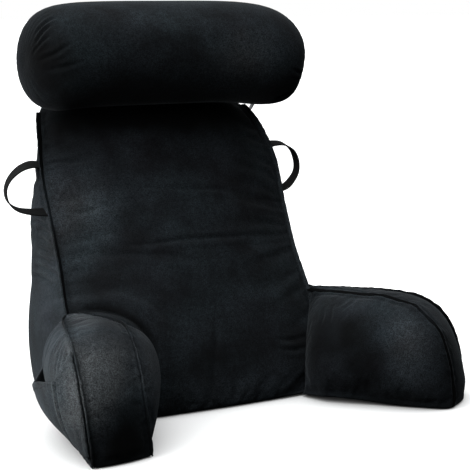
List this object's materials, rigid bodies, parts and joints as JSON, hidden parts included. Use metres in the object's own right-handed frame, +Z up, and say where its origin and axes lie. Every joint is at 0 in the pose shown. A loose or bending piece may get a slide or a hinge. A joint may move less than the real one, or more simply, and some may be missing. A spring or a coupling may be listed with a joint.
{
  "type": "reading pillow with arms",
  "caption": "Wedge-shaped velvet back cushion with two stuffed arms, a neck roll on top, webbing carry loops and a side pocket.",
  "frame": {"origin": "on the surface that the pillow stands on, in the middle of the back cushion's width, under its front half", "axes": "+Z up, the pillow faces -Y, +X to the right of a viewer who faces its front panel"},
  "size_m": [0.7036, 0.5103, 0.607],
  "materials": {
    "velvet": "matt velvet pile",
    "webbing": "woven",
    "tape": "woven"
  },
  "bodies": {
    "root": {"backrest": "velvet", "neck_roll": "velvet", "arm_left": "velvet", "arm_right": "velvet", "arm_pocket": "velvet", "loop_left": "webbing", "loop_right": "webbing", "roll_tape_left": "tape", "roll_tape_right": "tape"}
  },
  "joints": []
}
